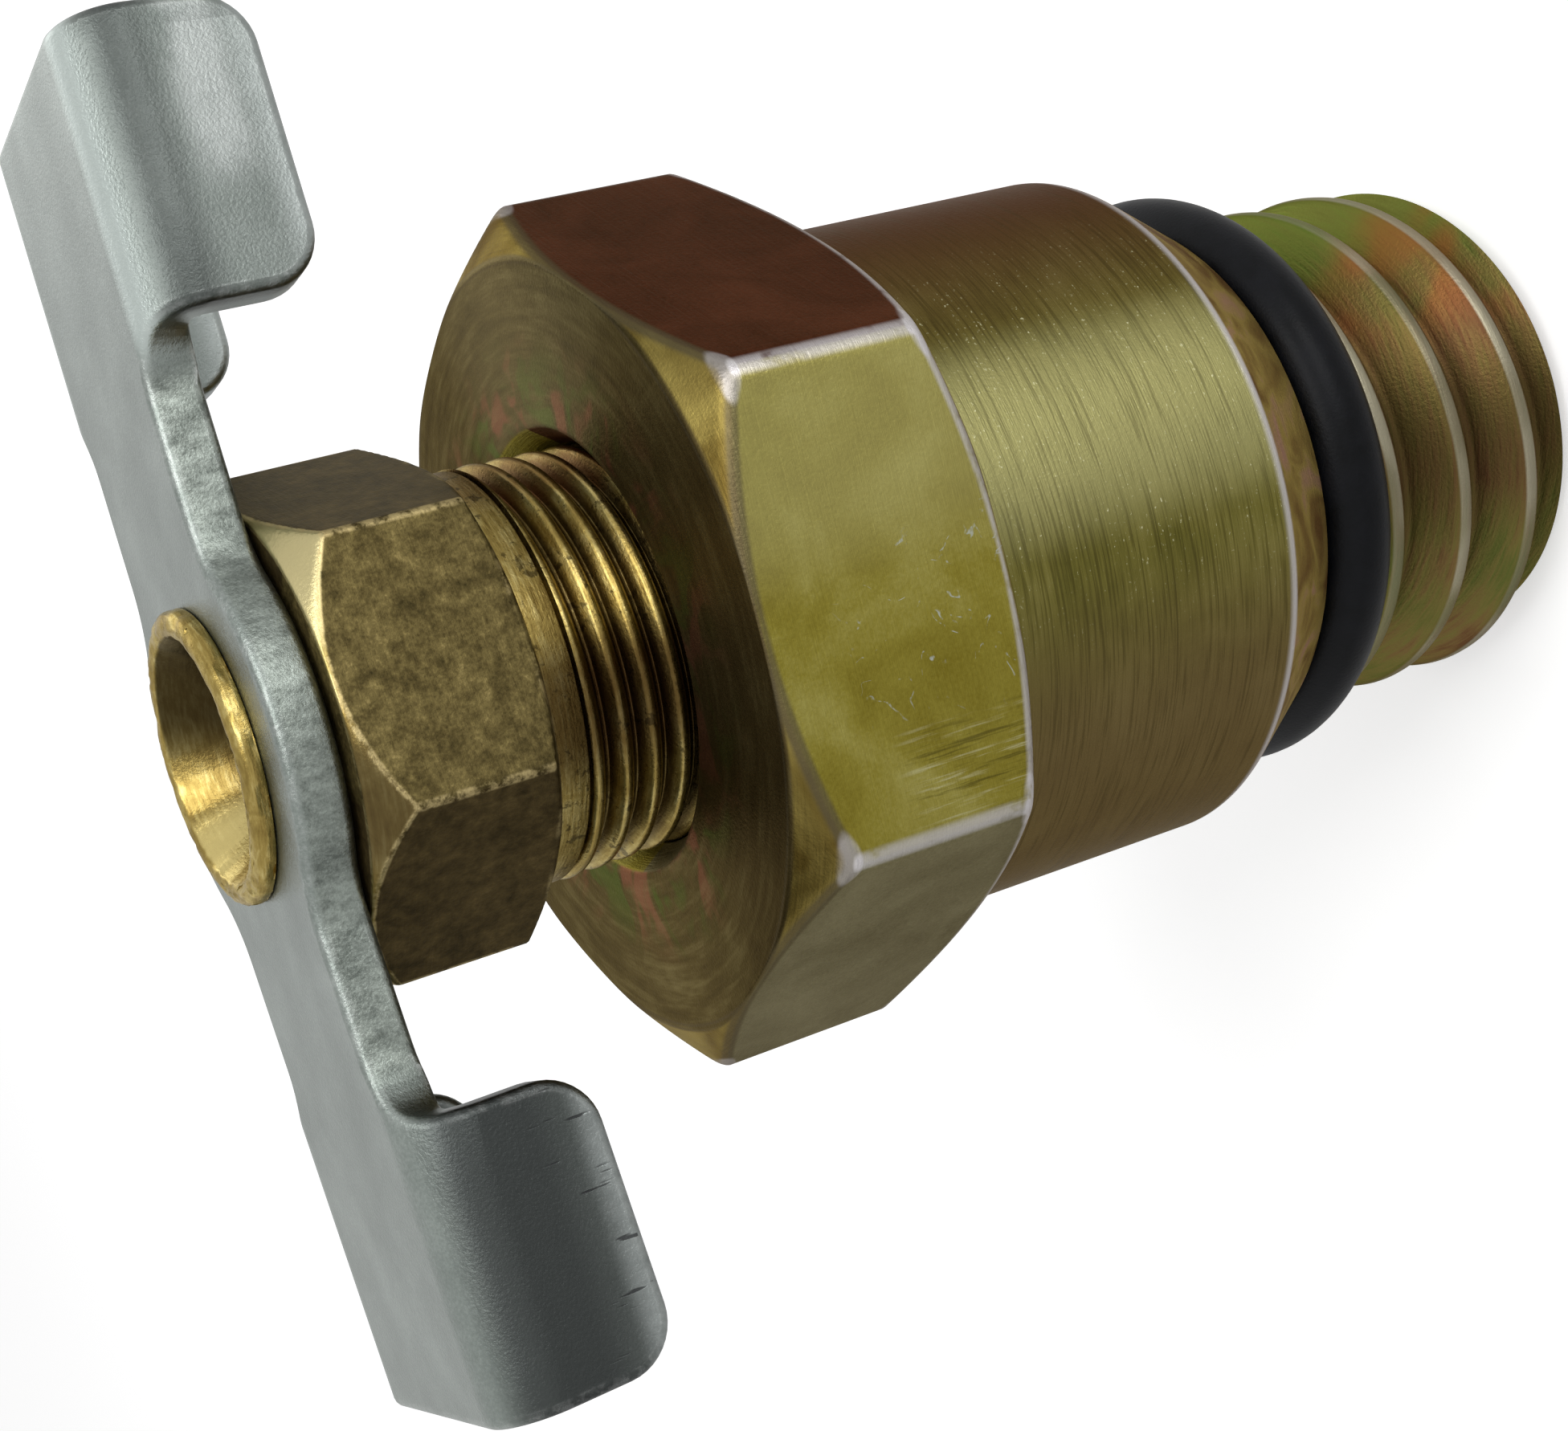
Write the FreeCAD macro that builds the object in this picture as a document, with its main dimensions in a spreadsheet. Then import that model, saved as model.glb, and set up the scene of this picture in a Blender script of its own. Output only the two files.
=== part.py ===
"""Drain cock for the bottom of a fuel filter, standing on its threaded nose.

The frame has +Z along the thread axis, from the nose up to the wing handle, and +X along the
handle. The origin is the centre of the nose's end face. Lengths are millimetres.
"""
import FreeCAD
import Part
import Sketcher
import math
import os

os.makedirs("parts", exist_ok=True)
doc = FreeCAD.newDocument("drain_cock")

# Driving dimensions
SIZES = {
    # Steel adapter, from the nose upwards
    "spigot_radius": 6.85,
    "spigot_height": 7.3,
    "spigot_pitch": 2.33,
    "spigot_crest": 0.45,
    "spigot_depth": 1.2,
    "spigot_start": 0.59,
    "thread_flank": 30.0,
    "cutter_margin": 0.3,
    "nose_chamfer": 1.05,
    "groove_height": 2.35,
    "groove_depth": 1.25,
    "cone_height": 2.35,
    "cone_end_radius": 7.35,
    "barrel_radius": 8.83,
    "barrel_height": 8.45,
    "hex_height": 6.35,
    "hex_flats": 19.05,
    "hex_turn": 51.7,
    "hex_face_margin": 0.075,
    "hex_bevel": 30.0,
    "passage_radius": 3.2,
    "socket_depth": 12.0,
    "mouth_radius": 5.6,
    "mouth_depth": 0.8,
    "drill_point": 30.0,
    # Rubber ring in the adapter's groove
    "ring_section": 2.1,
    "ring_clearance": 0.1,
    # Brass cock body screwed into the adapter
    "pipe_radius": 5.12,
    "pipe_taper": 0.03125,
    "pipe_engaged": 8.0,
    "pipe_clearance": 0.04,
    "relief_radius": 4.7,
    "relief_height": 1.0,
    "stand_off": 3.4,
    "nut_flats": 10.92,
    "nut_height": 4.6,
    "nut_turn": 4.2,
    "nut_bevel": 45.0,
    "chamber_radius": 2.6,
    "chamber_height": 5.6,
    "seat_radius": 1.3,
    "seat_length": 2.5,
    # Brass stem with its needle, drain bore and flared end
    "stem_radius": 3.1,
    "running_gap": 0.05,
    "shank_gap": 0.1,
    "needle_radius": 1.9,
    "needle_tip": 0.4,
    "needle_height": 0.95,
    "seat_gap": 0.05,
    "shank_foot": 0.3,
    "bore_radius": 2.1,
    "bore_depth": 7.7,
    "channel_radius": 1.0,
    "cross_radius": 0.7,
    "cross_height": 2.4,
    "seal_height": 4.9,
    "seal_section": 0.8,
    "seal_width": 0.95,
    "stem_step": 0.3,
    "neck_radius": 3.0,
    "neck_flat": 2.7,
    "flare_radius": 3.5,
    "flare_height": 0.5,
    "flare_edge": 0.2,
    "flare_mouth": 2.75,
    "flare_depth": 1.5,
    # Stamped steel wing handle
    "handle_gap": 0.1,
    "sheet": 1.3,
    "hole_gap": 0.03,
    "handle_span": 31.9,
    "wing_length": 6.9,
    "wing_width": 9.8,
    "wing_depth": 4.3,
    "bend_radius": 1.6,
    "flange_corner": 1.3,
    "boss_radius": 5.0,
    "strip_width": 6.6,
    "neck_fillet": 2.5,
}
sheet = doc.addObject("Spreadsheet::Sheet", "Sizes")
for row, (alias, value) in enumerate(SIZES.items(), start=1):
    sheet.set(f"A{row}", alias)
    sheet.set(f"B{row}", str(value))
    sheet.setAlias(f"B{row}", alias)
doc.recompute()


def sized(expression):
    """The expression with every alias led back to the sheet."""
    words = []
    word = ""
    for letter in expression + " ":
        if letter.isalnum() or letter == "_":
            word += letter
            continue
        words.append(f"Sizes.{word}" if word in SIZES else word)
        words.append(letter)
        word = ""
    return "".join(words).strip()


def plane_sketch(body, name, role, height=None):
    """A sketch on one of the body's origin planes, raised along its normal by height."""
    sketch = body.newObject("Sketcher::SketchObject", name)
    plane = next(f for f in body.Origin.OriginFeatures if f.Role == role)
    sketch.AttachmentSupport = [(plane, "")]
    sketch.MapMode = "FlatFace"
    if height:
        sketch.setExpression("AttachmentOffset.Base.z", sized(height))
    return sketch


def pin_point(sketch, line, end, place, label):
    """Ties one end of a line to its place from the sketch's axes, as expressions."""
    point = sketch.getPoint(line, end)
    ways = (("DistanceX", -2, place[0], point.x), ("DistanceY", -1, place[1], point.y))
    for kind, axis, expression, guess in ways:
        if expression == "0":
            sketch.addConstraint(Sketcher.Constraint("PointOnObject", line, end, axis))
            continue
        index = sketch.addConstraint(Sketcher.Constraint(kind, -1, 1, line, end, guess))
        sketch.renameConstraint(index, f"{label}_{kind[-1].lower()}")
        sketch.setExpression(f"Constraints[{index}]", sized(expression))


def outline(sketch, corners):
    """A closed polygon whose corners are pairs of expressions, radius or x first."""
    count = len(corners)
    first = sketch.GeometryCount
    start = [FreeCAD.Vector(1 + k, 1 + k * k, 0) for k in range(count)]
    for k in range(count):
        sketch.addGeometry(Part.LineSegment(start[k], start[(k + 1) % count]), False)
    for k in range(count):
        after = (k + 1) % count
        sketch.addConstraint(Sketcher.Constraint("Coincident", first + k, 2, first + after, 1))
    for k in range(count):
        pin_point(sketch, first + k, 1, corners[k], f"corner{first + k}")


def turned(body, name, corners):
    """A solid of revolution about Z from a profile of (radius, height) expressions."""
    sketch = plane_sketch(body, f"{name}_profile", "XZ_Plane")
    outline(sketch, corners)
    feature = body.newObject("PartDesign::Revolution", name)
    feature.Profile = sketch
    feature.ReferenceAxis = (sketch, ["V_Axis"])
    feature.Angle = 360
    doc.recompute()
    return feature


def hexagon_cut(body, name, flats, turn, bottom, height):
    """Cuts the six flats of a hexagon into a turned collar."""
    sketch = plane_sketch(body, f"{name}_outline", "XY_Plane", bottom)
    origin = FreeCAD.Vector(0, 0, 0)
    up = FreeCAD.Vector(0, 0, 1)
    circle = sketch.addGeometry(Part.Circle(origin, up, 8.0), True)
    angles = [k * math.pi / 3 for k in range(6)]
    corners = [FreeCAD.Vector(8 * math.cos(angle), 8 * math.sin(angle), 0) for angle in angles]
    lines = [Part.LineSegment(corners[k], corners[(k + 1) % 6]) for k in range(6)]
    sides = [sketch.addGeometry(line, False) for line in lines]
    spoke = sketch.addGeometry(Part.LineSegment(origin, corners[0]), True)
    outer = sketch.addGeometry(Part.Circle(origin, up, 30.0), False)
    sketch.addConstraint(Sketcher.Constraint("Coincident", circle, 3, -1, 1))
    sketch.addConstraint(Sketcher.Constraint("Coincident", outer, 3, -1, 1))
    sketch.addConstraint(Sketcher.Constraint("Coincident", spoke, 1, -1, 1))
    sketch.addConstraint(Sketcher.Constraint("Coincident", spoke, 2, sides[0], 1))
    for k in range(6):
        sketch.addConstraint(Sketcher.Constraint("Coincident", sides[k], 2, sides[(k + 1) % 6], 1))
        sketch.addConstraint(Sketcher.Constraint("PointOnObject", sides[k], 1, circle))
    for k in range(1, 6):
        sketch.addConstraint(Sketcher.Constraint("Equal", sides[0], sides[k]))
    reach = sketch.addConstraint(Sketcher.Constraint("Radius", circle, 8.0))
    sketch.setExpression(f"Constraints[{reach}]", sized(f"{flats} / 2 / cos(30)"))
    clear = sketch.addConstraint(Sketcher.Constraint("Radius", outer, 30.0))
    sketch.setExpression(f"Constraints[{clear}]", sized(f"{flats}"))
    angle = sketch.addConstraint(Sketcher.Constraint("Angle", spoke, math.radians(10)))
    sketch.setExpression(f"Constraints[{angle}]", sized(f"{turn} * 1 deg"))
    return pocket(body, name, sketch, height)


def pocket(body, name, sketch, depth, both_ways=False):
    """Cuts the sketch into the body, along its normal, and checks that the cut removed something."""
    before = body.Shape.Volume
    feature = body.newObject("PartDesign::Pocket", name)
    feature.Profile = sketch
    feature.Midplane = both_ways
    feature.Reversed = not both_ways
    feature.setExpression("Length", sized(depth))
    doc.recompute()
    if feature.Shape.isNull() or not body.Shape.Volume < before - 1e-4:
        raise RuntimeError(f"{name} cut nothing")
    return feature


def rectangle(sketch, low, high):
    """An upright rectangle between two corners given as expressions."""
    outline(sketch, [(low[0], low[1]), (high[0], low[1]), (high[0], high[1]), (low[0], high[1])])


def edge_names(shape, test):
    """Names of the edges whose every point passes the test."""
    names = []
    for number, edge in enumerate(shape.Edges, start=1):
        if all(test(point) for point in edge.discretize(5)):
            names.append(f"Edge{number}")
    return names


def fillet(body, name, radius, test):
    """Rounds the edges of the body that lie where the test says."""
    base = body.Tip
    names = edge_names(base.Shape, test)
    if not names:
        raise RuntimeError(f"{name} found no edges")
    feature = body.newObject("PartDesign::Fillet", name)
    feature.Base = (base, names)
    feature.setExpression("Radius", sized(radius))
    doc.recompute()
    return feature


def new_body(label):
    """An empty body whose label names the piece."""
    body = doc.addObject("PartDesign::Body", label)
    body.Label = label
    return body


# Heights that several pieces share, as expressions from the nose upwards
GROOVE_TOP = "(spigot_height + groove_height)"
CONE_TOP = f"({GROOVE_TOP} + cone_height)"
BARREL_TOP = f"({CONE_TOP} + barrel_height)"
ADAPTER_TOP = f"({BARREL_TOP} + hex_height)"
SOCKET_FLOOR = f"({ADAPTER_TOP} - socket_depth)"
NUT_BASE = f"({ADAPTER_TOP} + stand_off)"
NUT_TOP = f"({NUT_BASE} + nut_height)"
PIPE_TOP = f"({NUT_BASE} - relief_height)"
PIPE_END = f"({ADAPTER_TOP} - pipe_engaged)"
PIPE_END_RADIUS = f"(pipe_radius - pipe_taper * ({PIPE_TOP} - {PIPE_END}))"
HANDLE_BACK = f"({NUT_TOP} + handle_gap)"
HANDLE_FRONT = f"({HANDLE_BACK} + sheet)"
SEAT_TOP = f"({PIPE_END} + seat_length + chamber_radius - seat_radius)"
CHAMBER_TOP = f"({SEAT_TOP} + chamber_height)"


def make_adapter():
    """Steel adapter: spigot thread, ring groove, sealing cone, barrel, hexagon and tapped socket."""
    body = new_body("adapter_body")
    corner = "hex_flats / 2 / cos(30)"
    face = "(hex_flats / 2 + hex_face_margin)"
    bevel = f"({corner} - {face}) * tan(hex_bevel * 1 deg)"
    floor_radius = "(spigot_radius - groove_depth)"
    socket = f"(pipe_radius + pipe_clearance - pipe_taper * ({PIPE_TOP} - {ADAPTER_TOP} + mouth_depth))"
    socket_end = f"({socket} - pipe_taper * (socket_depth - mouth_depth))"
    turned(body, "adapter_blank", [
        ("passage_radius", "0"),
        ("spigot_radius - nose_chamfer", "0"),
        ("spigot_radius", "nose_chamfer"),
        ("spigot_radius", "spigot_height"),
        (floor_radius, "spigot_height"),
        (floor_radius, GROOVE_TOP),
        ("cone_end_radius", GROOVE_TOP),
        ("barrel_radius", CONE_TOP),
        ("barrel_radius", BARREL_TOP),
        (face, BARREL_TOP),
        (corner, f"{BARREL_TOP} + {bevel}"),
        (corner, f"{ADAPTER_TOP} - {bevel}"),
        (face, ADAPTER_TOP),
        ("mouth_radius", ADAPTER_TOP),
        (socket, f"{ADAPTER_TOP} - mouth_depth"),
        (socket_end, SOCKET_FLOOR),
        ("passage_radius", f"{SOCKET_FLOOR} - ({socket_end} - passage_radius) * tan(drill_point * 1 deg)"),
    ])
    hexagon_cut(body, "adapter_hexagon", "hex_flats", "hex_turn", BARREL_TOP, "hex_height")
    valley = plane_sketch(body, "spigot_valley", "XZ_Plane")
    root = "(spigot_radius - spigot_depth)"
    middle = "(spigot_start - spigot_pitch)"
    outside = "(spigot_radius + cutter_margin)"
    half_crest = "((spigot_pitch - spigot_crest) / 2)"
    half_root = f"({half_crest} - spigot_depth * tan(thread_flank * 1 deg))"
    half_out = f"({half_crest} + cutter_margin * tan(thread_flank * 1 deg))"
    outline(valley, [
        (root, f"{middle} - {half_root}"),
        (outside, f"{middle} - {half_out}"),
        (outside, f"{middle} + {half_out}"),
        (root, f"{middle} + {half_root}"),
    ])
    doc.recompute()
    thread = body.newObject("PartDesign::SubtractiveHelix", "spigot_thread")
    thread.Profile = valley
    thread.ReferenceAxis = (valley, ["V_Axis"])
    thread.Mode = 0
    thread.setExpression("Pitch", sized("spigot_pitch"))
    thread.setExpression("Height", sized(f"spigot_height - {middle} + {half_crest}"))
    doc.recompute()
    return body


def make_ring():
    """Rubber ring that lies in the groove behind the spigot thread."""
    ring = doc.addObject("Part::Torus", "adapter_o_ring")
    floor = "(spigot_radius - groove_depth)"
    ring.setExpression("Radius1", sized(f"{floor} + ring_clearance + ring_section / 2"))
    ring.setExpression("Radius2", sized("ring_section / 2"))
    ring.setExpression("Placement.Base.z", sized("spigot_height + groove_height / 2"))
    return ring


def make_cock_body():
    """Brass body: taper thread, relief, hexagon, threaded bore, chamber and conical seat."""
    body = new_body("cock_body")
    corner = "nut_flats / 2 / cos(30)"
    bevel = f"({corner} - nut_flats / 2) * tan(nut_bevel * 1 deg)"
    bore = "(stem_radius + running_gap)"
    turned(body, "cock_blank", [
        ("seat_radius", PIPE_END),
        (PIPE_END_RADIUS, PIPE_END),
        ("pipe_radius", PIPE_TOP),
        ("relief_radius", PIPE_TOP),
        ("relief_radius", NUT_BASE),
        ("nut_flats / 2", NUT_BASE),
        (corner, f"{NUT_BASE} + {bevel} / 2"),
        (corner, f"{NUT_TOP} - {bevel}"),
        ("nut_flats / 2", NUT_TOP),
        (bore, NUT_TOP),
        (bore, CHAMBER_TOP),
        ("chamber_radius", CHAMBER_TOP),
        ("chamber_radius", SEAT_TOP),
        ("seat_radius", f"{PIPE_END} + seat_length"),
    ])
    hexagon_cut(body, "cock_hexagon", "nut_flats", "nut_turn", NUT_BASE, "nut_height")
    return body


def make_stem():
    """Brass stem: needle, seal groove, threaded shank, neck with two flats and flared drain mouth."""
    body = new_body("valve_stem")
    shank = "(chamber_radius - shank_gap)"
    needle_end = f"({PIPE_END} + seat_length + needle_radius - seat_radius + seat_gap)"
    foot = f"({needle_end} + needle_height)"
    seal = f"({PIPE_END} + seat_length + seal_height)"
    seal_floor = "(chamber_radius - seal_section - running_gap)"
    flare_top = f"({HANDLE_FRONT} + flare_height)"
    bore_end = f"({flare_top} - bore_depth)"
    cross = f"({foot} + cross_height / 2)"
    turned(body, "stem_blank", [
        ("0", f"{needle_end} - needle_radius + needle_tip"),
        ("needle_tip", f"{needle_end} - needle_radius + needle_tip"),
        ("needle_radius", needle_end),
        ("needle_radius", foot),
        (shank, f"{foot} + shank_foot"),
        (shank, f"{seal} - seal_width / 2"),
        (seal_floor, f"{seal} - seal_width / 2"),
        (seal_floor, f"{seal} + seal_width / 2"),
        (shank, f"{seal} + seal_width / 2"),
        (shank, f"{CHAMBER_TOP} + stem_step"),
        ("stem_radius", f"{CHAMBER_TOP} + stem_step"),
        ("stem_radius", HANDLE_BACK),
        ("neck_radius", HANDLE_BACK),
        ("neck_radius", HANDLE_FRONT),
        ("flare_radius", HANDLE_FRONT),
        ("flare_radius", f"{flare_top} - flare_edge"),
        ("flare_radius - flare_edge", flare_top),
        ("flare_mouth", flare_top),
        ("bore_radius", f"{flare_top} - flare_depth"),
        ("bore_radius", bore_end),
        ("channel_radius", f"{bore_end} - (bore_radius - channel_radius) * tan(drill_point * 1 deg)"),
        ("channel_radius", cross),
        ("0", f"{cross} - channel_radius * tan(drill_point * 1 deg)"),
    ])
    flats = plane_sketch(body, "neck_flats_outline", "XY_Plane", HANDLE_BACK)
    rectangle(flats, ("-neck_radius", "neck_flat"), ("neck_radius", "neck_radius * 2"))
    rectangle(flats, ("-neck_radius", "-neck_radius * 2"), ("neck_radius", "-neck_flat"))
    pocket(body, "neck_flats", flats, "sheet")
    hole = plane_sketch(body, "cross_hole_outline", "XZ_Plane")
    drill = Part.Circle(FreeCAD.Vector(0, 20, 0), FreeCAD.Vector(0, 0, 1), 0.5)
    circle = hole.addGeometry(drill, False)
    hole.addConstraint(Sketcher.Constraint("PointOnObject", circle, 3, -2))
    height = hole.addConstraint(Sketcher.Constraint("DistanceY", -1, 1, circle, 3, 20.0))
    hole.setExpression(f"Constraints[{height}]", sized(cross))
    radius = hole.addConstraint(Sketcher.Constraint("Radius", circle, 0.5))
    hole.setExpression(f"Constraints[{radius}]", sized("cross_radius"))
    pocket(body, "cross_hole", hole, "chamber_radius * 4", both_ways=True)
    return body


def make_seal():
    """Small rubber ring in the groove of the stem."""
    ring = doc.addObject("Part::Torus", "stem_seal_ring")
    ring.setExpression("Radius1", sized("chamber_radius - running_gap / 2 - seal_section / 2"))
    ring.setExpression("Radius2", sized("seal_section / 2"))
    ring.setExpression("Placement.Base.z", sized(f"{PIPE_END} + seat_length + seal_height"))
    return ring


def cell(alias):
    """The number that the sheet holds for an alias."""
    return float(sheet.get(alias))


def near(value, target):
    """Whether two lengths agree to a hundredth of a millimetre."""
    return abs(value - target) < 0.01


def notch_outline(sketch, sign, inner, side, half):
    """Area beside the strip, from wing to wing, whose corners at the wings are arcs."""
    flip = -1 if sign else 1
    turn = f"({half} - {side})"
    lines = [
        ((-9, 6), (9, 6)),
        ((9, 6), (9, 5)),
        ((8, 4), (-8, 4)),
        ((-9, 5), (-9, 6)),
    ]
    for start, stop in lines:
        first = FreeCAD.Vector(start[0], flip * start[1], 0)
        last = FreeCAD.Vector(stop[0], flip * stop[1], 0)
        sketch.addGeometry(Part.LineSegment(first, last), False)
    outer = f"{sign}({half} + sheet)"
    knee = f"{sign}({side} + {turn})"
    edge = f"{sign}{side}"
    ends = [
        (0, 1, (f"-{inner}", outer)), (0, 2, (inner, outer)),
        (1, 1, (inner, outer)), (1, 2, (inner, knee)),
        (2, 1, (f"{inner} - {turn}", edge)), (2, 2, (f"-{inner} + {turn}", edge)),
        (3, 1, (f"-{inner}", knee)), (3, 2, (f"-{inner}", outer)),
    ]
    for line, end, place in ends:
        pin_point(sketch, line, end, place, f"end{line}{end}")
    # Each arc: the line ends that it joins, its first angle, and its side along X
    arcs = {
        "": [((2, 1), (1, 2), -90, 1), ((3, 1), (2, 2), 180, -1)],
        "-": [((1, 2), (2, 1), 0, 1), ((2, 2), (3, 1), 90, -1)],
    }
    for start, stop, angle, way in arcs[sign]:
        circle = Part.Circle(FreeCAD.Vector(way * 8, flip * 5, 0), FreeCAD.Vector(0, 0, 1), 1.0)
        first = math.radians(angle)
        arc = sketch.addGeometry(Part.ArcOfCircle(circle, first, first + math.pi / 2), False)
        sketch.addConstraint(Sketcher.Constraint("Coincident", arc, 1, start[0], start[1]))
        sketch.addConstraint(Sketcher.Constraint("Coincident", arc, 2, stop[0], stop[1]))
        index = sketch.addConstraint(Sketcher.Constraint("DistanceX", -1, 1, arc, 3, 8.0 * way))
        middle = f"({inner} - {turn})"
        sketch.setExpression(f"Constraints[{index}]", sized(middle if way > 0 else f"-{middle}"))


def flat_hole(sketch, radius, flat):
    """A round hole with two flats across Y."""
    slope = 1.1
    for middle in (0, math.pi):
        circle = Part.Circle(FreeCAD.Vector(0, 0, 0), FreeCAD.Vector(0, 0, 1), 3.0)
        sketch.addGeometry(Part.ArcOfCircle(circle, middle - slope, middle + slope), False)
    reach = 3 * math.cos(slope)
    rise = 3 * math.sin(slope)
    for way in (1, -1):
        start = FreeCAD.Vector(reach * way, rise * way, 0)
        stop = FreeCAD.Vector(-reach * way, rise * way, 0)
        sketch.addGeometry(Part.LineSegment(start, stop), False)
    for arc in (0, 1):
        sketch.addConstraint(Sketcher.Constraint("Coincident", arc, 3, -1, 1))
        index = sketch.addConstraint(Sketcher.Constraint("Radius", arc, 3.0))
        sketch.setExpression(f"Constraints[{index}]", sized(radius))
    for first, first_end, second, second_end in ((0, 2, 2, 1), (2, 2, 1, 1), (1, 2, 3, 1), (3, 2, 0, 1)):
        sketch.addConstraint(Sketcher.Constraint("Coincident", first, first_end, second, second_end))
    for line, sign, guess in ((2, "", 3.0), (3, "-", -3.0)):
        sketch.addConstraint(Sketcher.Constraint("Horizontal", line))
        index = sketch.addConstraint(Sketcher.Constraint("DistanceY", -1, 1, line, 1, guess))
        sketch.setExpression(f"Constraints[{index}]", sized(f"{sign}({flat})"))


def make_handle():
    """Stamped handle: flat strip with a round boss, and a wing at each end folded to a channel."""
    body = new_body("wing_handle")
    end = "(handle_span / 2)"
    inner = f"({end} - wing_length)"
    half = "(wing_width / 2)"
    side = "(strip_width / 2)"
    free = f"({HANDLE_FRONT} - wing_depth)"
    section = plane_sketch(body, "channel_section", "YZ_Plane")
    outline(section, [
        (f"-{half}", free),
        (f"-{half} + sheet", free),
        (f"-{half} + sheet", HANDLE_BACK),
        (f"{half} - sheet", HANDLE_BACK),
        (f"{half} - sheet", free),
        (half, free),
        (half, HANDLE_FRONT),
        (f"-{half}", HANDLE_FRONT),
    ])
    channel = body.newObject("PartDesign::Pad", "channel")
    channel.Profile = section
    channel.Midplane = True
    channel.setExpression("Length", sized("handle_span"))
    doc.recompute()
    width = cell("wing_width")
    front = channel.Shape.BoundBox.ZMax
    back = front - cell("sheet")
    low = channel.Shape.BoundBox.ZMin
    reach = cell("handle_span") / 2
    fillet(body, "outer_bends", "bend_radius",
           lambda p: near(p.z, front) and near(abs(p.y), width / 2))
    fillet(body, "inner_bends", "bend_radius - sheet",
           lambda p: near(p.z, back) and near(abs(p.y), width / 2 - cell("sheet")))
    gap = plane_sketch(body, "between_wings_outline", "XZ_Plane")
    rectangle(gap, (f"-{inner}", f"{free} - sheet"), (inner, HANDLE_BACK))
    pocket(body, "between_wings", gap, "wing_width * 2", both_ways=True)
    root = reach - cell("wing_length")
    fillet(body, "flange_corners", "flange_corner",
           lambda p: near(p.z, low) and (near(abs(p.x), reach) or near(abs(p.x), root)))
    for name, sign in (("left_side", ""), ("right_side", "-")):
        cut = plane_sketch(body, f"{name}_outline", "XY_Plane", free)
        notch_outline(cut, sign, inner, side, half)
        pocket(body, name, cut, "wing_depth * 2")
    disc = plane_sketch(body, "boss_outline", "XY_Plane", HANDLE_BACK)
    rim = Part.Circle(FreeCAD.Vector(0, 0, 0), FreeCAD.Vector(0, 0, 1), 4.0)
    circle = disc.addGeometry(rim, False)
    disc.addConstraint(Sketcher.Constraint("Coincident", circle, 3, -1, 1))
    radius = disc.addConstraint(Sketcher.Constraint("Radius", circle, 4.0))
    disc.setExpression(f"Constraints[{radius}]", sized("boss_radius"))
    boss = body.newObject("PartDesign::Pad", "boss")
    boss.Profile = disc
    boss.setExpression("Length", sized("sheet"))
    doc.recompute()
    strip = cell("strip_width") / 2
    joint = math.sqrt(cell("boss_radius") ** 2 - strip ** 2)
    straight = f"({inner} - ({half} - {side}))"
    room = f"({straight}^2 / (boss_radius - {side}) - boss_radius - {side}) / 2"
    fillet(body, "neck_fillets", f"min(neck_fillet; {room} - sheet / 10)",
           lambda p: near(abs(p.y), strip) and near(abs(p.x), joint))
    hole = plane_sketch(body, "stem_hole_outline", "XY_Plane", HANDLE_BACK)
    flat_hole(hole, "neck_radius + hole_gap", "neck_flat + hole_gap")
    pocket(body, "stem_hole", hole, "sheet")
    return body


PIECES = [make_adapter(), make_ring(), make_cock_body(), make_stem(), make_seal(), make_handle()]
doc.recompute()
for item in doc.Objects:
    if "Invalid" in item.State or "Error" in item.State:
        raise RuntimeError(f"{item.Name} failed: {item.State}")
for piece in PIECES:
    if piece.Shape.isNull() or not piece.Shape.isValid() or len(piece.Shape.Solids) != 1:
        raise RuntimeError(f"{piece.Label} is not one valid solid")
for piece in PIECES:
    piece.Shape.exportStep(f"parts/{piece.Label}.step")
    print(piece.Label, round(piece.Shape.Volume, 2))
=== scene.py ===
"""Looks of a drain cock for a fuel filter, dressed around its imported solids.

The sections follow the part from the steel adapter up to the wing handle. Meshes are drawn in
millimetres, standing on the threaded nose, and settle() brings each finished one to metres.
"""
import math

import bmesh
import bpy
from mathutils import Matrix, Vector, noise


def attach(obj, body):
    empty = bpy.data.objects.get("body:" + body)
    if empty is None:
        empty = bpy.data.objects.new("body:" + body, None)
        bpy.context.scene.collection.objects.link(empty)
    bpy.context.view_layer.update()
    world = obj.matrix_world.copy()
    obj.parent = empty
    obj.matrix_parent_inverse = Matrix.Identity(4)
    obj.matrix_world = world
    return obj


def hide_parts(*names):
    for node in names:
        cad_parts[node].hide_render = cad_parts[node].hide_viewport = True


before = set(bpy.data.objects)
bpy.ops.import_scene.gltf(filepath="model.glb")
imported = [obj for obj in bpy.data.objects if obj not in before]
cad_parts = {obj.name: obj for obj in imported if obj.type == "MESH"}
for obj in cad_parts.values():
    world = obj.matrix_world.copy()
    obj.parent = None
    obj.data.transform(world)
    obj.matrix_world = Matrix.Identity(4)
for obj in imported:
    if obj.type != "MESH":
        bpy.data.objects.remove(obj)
bpy.ops.object.select_all(action="DESELECT")
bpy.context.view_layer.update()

# Steel adapter: a hexagon bar turned down to a barrel, a sealing cone, a ring groove and a
# coarse thread, then drilled through and tapped from the hexagon's side. Yellow zinc plating
# gives it gold, green and red-brown tints, and handling has rubbed its edges silver. Painted
# shade darkens some of its sides and painted highlights brighten others.
PASSAGE_RADIUS = 3.2
SPIGOT_RADIUS = 6.85
SPIGOT_ROOT = 5.65
SPIGOT_TOP = 7.3
SPIGOT_PITCH = 2.33
SPIGOT_CREST = 0.45
SPIGOT_VALLEY = 0.59
NOSE_CHAMFER = 1.05
GROOVE_RADIUS = 5.6
GROOVE_TOP = 9.65
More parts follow.
